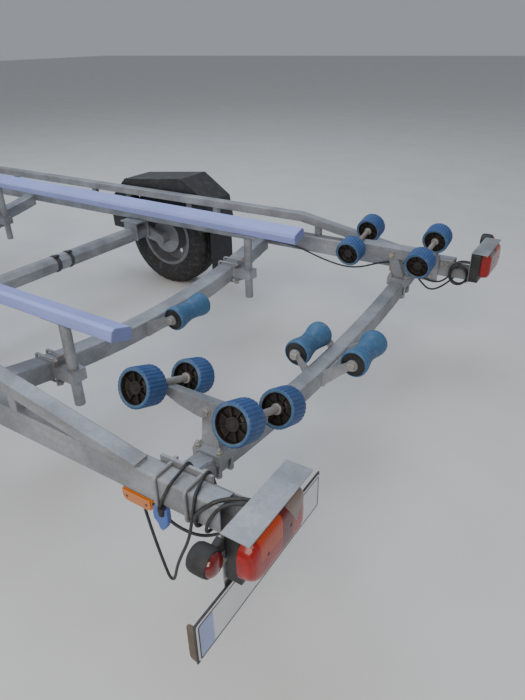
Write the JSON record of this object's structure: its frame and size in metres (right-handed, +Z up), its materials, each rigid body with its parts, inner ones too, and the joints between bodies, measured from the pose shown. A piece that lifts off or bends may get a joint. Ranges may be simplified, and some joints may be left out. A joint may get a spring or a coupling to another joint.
{
  "type": "single-axle boat trailer",
  "caption": "Single-axle boat trailer with rocking roller cradles at the stern, padded bunks, spool keel rollers, winch post and jockey wheel.",
  "frame": {"origin": "on the ground under the middle of the trailer's box", "axes": "+X forward to the coupling, +Y to the trailer's left, +Z up"},
  "size_m": [5.947, 2.276, 1.186],
  "materials": {
    "galvanised_steel": "hot-dip galvanised, dull, with a faint spangle",
    "wheel_steel": "silver paint, slightly worn",
    "blue_rubber": "ribbed moulded rubber, satin",
    "black_rubber": "moulded rubber, matt",
    "tyre_rubber": "tyre rubber, matt, dusty",
    "black_plastic": "moulded plastic, satin",
    "guard_plastic": "black moulded plastic, dull",
    "bunk_covering": "short-pile dark carpet over timber",
    "red_lens": "ribbed clear red lamp lens",
    "amber_lens": "ribbed amber lamp lens",
    "marker_plastic": "marker lamp plastic",
    "plate_face": "blank reflective plate"
  },
  "bodies": {
    "root": {"axle_mounts": "galvanised_steel", "axle_tube": "galvanised_steel", "beam_clamps": "galvanised_steel", "bow_stop": "black_rubber", "bunk_left": "bunk_covering", "bunk_posts": "galvanised_steel", "bunk_right": "bunk_covering", "coupling_bellows": "black_rubber", "coupling_head": "galvanised_steel", "coupling_housing": "galvanised_steel", "crossbeam_front": "galvanised_steel", "crossbeam_middle": "galvanised_steel", "crossbeam_rear": "galvanised_steel", "drawbar": "galvanised_steel", "guard_stays": "galvanised_steel", "handbrake_lever": "galvanised_steel", "jockey_tube": "galvanised_steel", "keel_brackets": "galvanised_steel", "lamp_bases": "black_plastic", "lamp_cables": "black_rubber", "lamp_hoods": "galvanised_steel", "lamp_lenses": "red_lens", "marker_lamps": "marker_plastic", "mud_flaps": "black_rubber", "mudguard_left": "guard_plastic", "mudguard_right": "guard_plastic", "number_plate": "plate_face", "plate_board": "black_plastic", "rail_lower_left": "galvanised_steel", "rail_lower_right": "galvanised_steel", "rail_upper_left": "galvanised_steel", "rail_upper_right": "galvanised_steel", "roller_stem_left": "galvanised_steel", "roller_stem_right": "galvanised_steel", "side_markers": "amber_lens", "torsion_arms": "galvanised_steel", "winch_frame": "galvanised_steel", "winch_post": "galvanised_steel"},
    "wheel_left": {"tyre_left": "tyre_rubber", "wheel_left": "wheel_steel"},
    "wheel_right": {"tyre_right": "tyre_rubber", "wheel_right": "wheel_steel"},
    "cradle_left": {"cradle_left": "galvanised_steel"},
    "roller_left_rear_inner": {"roller_left_rear_inner": "blue_rubber"},
    "roller_left_rear_outer": {"roller_left_rear_outer": "blue_rubber"},
    "roller_left_front_inner": {"roller_left_front_inner": "blue_rubber"},
    "roller_left_front_outer": {"roller_left_front_outer": "blue_rubber"},
    "cradle_right": {"cradle_right": "galvanised_steel"},
    "roller_right_rear_inner": {"roller_right_rear_inner": "blue_rubber"},
    "roller_right_rear_outer": {"roller_right_rear_outer": "blue_rubber"},
    "roller_right_front_inner": {"roller_right_front_inner": "blue_rubber"},
    "roller_right_front_outer": {"roller_right_front_outer": "blue_rubber"},
    "keel_roller_middle": {"keel_roller_middle": "blue_rubber"},
    "keel_roller_rear_front": {"keel_roller_rear_front": "blue_rubber"},
    "keel_roller_rear_back": {"keel_roller_rear_back": "blue_rubber"},
    "jockey_leg": {"jockey_leg": "galvanised_steel"},
    "jockey_fork": {"jockey_fork": "galvanised_steel"},
    "jockey_wheel": {"jockey_wheel": "black_rubber"},
    "winch_crank": {"winch_crank": "galvanised_steel"},
    "winch_drum": {"winch_drum": "galvanised_steel"}
  },
  "joints": [
    {"name": "wheel_spin_left", "type": "hinge", "parent": "root", "child": "wheel_left", "pos_m": [-1.0485, 1.028, 0.3], "axis": [0, 1, 0], "continuous": true},
    {"name": "wheel_spin_right", "type": "hinge", "parent": "root", "child": "wheel_right", "pos_m": [-1.0485, -1.028, 0.3], "axis": [0, 1, 0], "continuous": true},
    {"name": "cradle_rock_left", "type": "hinge", "parent": "root", "child": "cradle_left", "pos_m": [-2.6005, 0.63549, 0.51748], "axis": [0, 0.9348, 0.3551], "range_deg": [-20, 20]},
    {"name": "roller_left_rear_inner_spin", "type": "hinge", "parent": "cradle_left", "child": "roller_left_rear_inner", "pos_m": [-2.7505, 0.52291, 0.51536], "axis": [0, 0.9348, 0.3551], "continuous": true},
    {"name": "roller_left_rear_outer_spin", "type": "hinge", "parent": "cradle_left", "child": "roller_left_rear_outer", "pos_m": [-2.7505, 0.72109, 0.59064], "axis": [0, 0.9348, 0.3551], "continuous": true},
    {"name": "roller_left_front_inner_spin", "type": "hinge", "parent": "cradle_left", "child": "roller_left_front_inner", "pos_m": [-2.4505, 0.52291, 0.51536], "axis": [0, 0.9348, 0.3551], "continuous": true},
    {"name": "roller_left_front_outer_spin", "type": "hinge", "parent": "cradle_left", "child": "roller_left_front_outer", "pos_m": [-2.4505, 0.72109, 0.59064], "axis": [0, 0.9348, 0.3551], "continuous": true},
    {"name": "cradle_rock_right", "type": "hinge", "parent": "root", "child": "cradle_right", "pos_m": [-2.6005, -0.66651, 0.55375], "axis": [0, 0.9803, -0.1977], "range_deg": [-20, 20]},
    {"name": "roller_right_rear_inner_spin", "type": "hinge", "parent": "cradle_right", "child": "roller_right_rear_inner", "pos_m": [-2.7505, -0.55509, 0.57005], "axis": [0, 0.9803, -0.1977], "continuous": true},
    {"name": "roller_right_rear_outer_spin", "type": "hinge", "parent": "cradle_right", "child": "roller_right_rear_outer", "pos_m": [-2.7505, -0.76291, 0.61195], "axis": [0, 0.9803, -0.1977], "continuous": true},
    {"name": "roller_right_front_inner_spin", "type": "hinge", "parent": "cradle_right", "child": "roller_right_front_inner", "pos_m": [-2.4505, -0.55509, 0.57005], "axis": [0, 0.9803, -0.1977], "continuous": true},
    {"name": "roller_right_front_outer_spin", "type": "hinge", "parent": "cradle_right", "child": "roller_right_front_outer", "pos_m": [-2.4505, -0.76291, 0.61195], "axis": [0, 0.9803, -0.1977], "continuous": true},
    {"name": "keel_roller_middle_spin", "type": "hinge", "parent": "root", "child": "keel_roller_middle", "pos_m": [-1.9985, 0, 0.405], "axis": [0, 1, 0], "continuous": true},
    {"name": "keel_roller_rear_front_spin", "type": "hinge", "parent": "root", "child": "keel_roller_rear_front", "pos_m": [-2.5515, 0, 0.41], "axis": [0, 1, 0], "continuous": true},
    {"name": "keel_roller_rear_back_spin", "type": "hinge", "parent": "root", "child": "keel_roller_rear_back", "pos_m": [-2.7635, 0, 0.43], "axis": [0, 1, 0], "continuous": true},
    {"name": "jockey_lift", "type": "slide", "parent": "root", "child": "jockey_leg", "axis": [0, 0, 1], "range_m": [-0.1, 0.14]},
    {"name": "jockey_swivel", "type": "hinge", "parent": "jockey_leg", "child": "jockey_fork", "pos_m": [2.3515, 0.095, 0.232], "axis": [0, 0, 1], "continuous": true},
    {"name": "jockey_roll", "type": "hinge", "parent": "jockey_fork", "child": "jockey_wheel", "pos_m": [2.3065, 0.095, 0.1], "axis": [0, 1, 0], "continuous": true},
    {"name": "crank_turn", "type": "hinge", "parent": "root", "child": "winch_crank", "pos_m": [1.7765, -0.046, 1.148], "axis": [0, 1, 0], "continuous": true},
    {"name": "drum_turn", "type": "hinge", "parent": "root", "child": "winch_drum", "pos_m": [1.7465, 0, 1.126], "axis": [0, 1, 0], "continuous": true}
  ],
  "couplings": [
    {"joint": "crank_turn", "follows": "drum_turn", "ratio": -4}
  ]
}
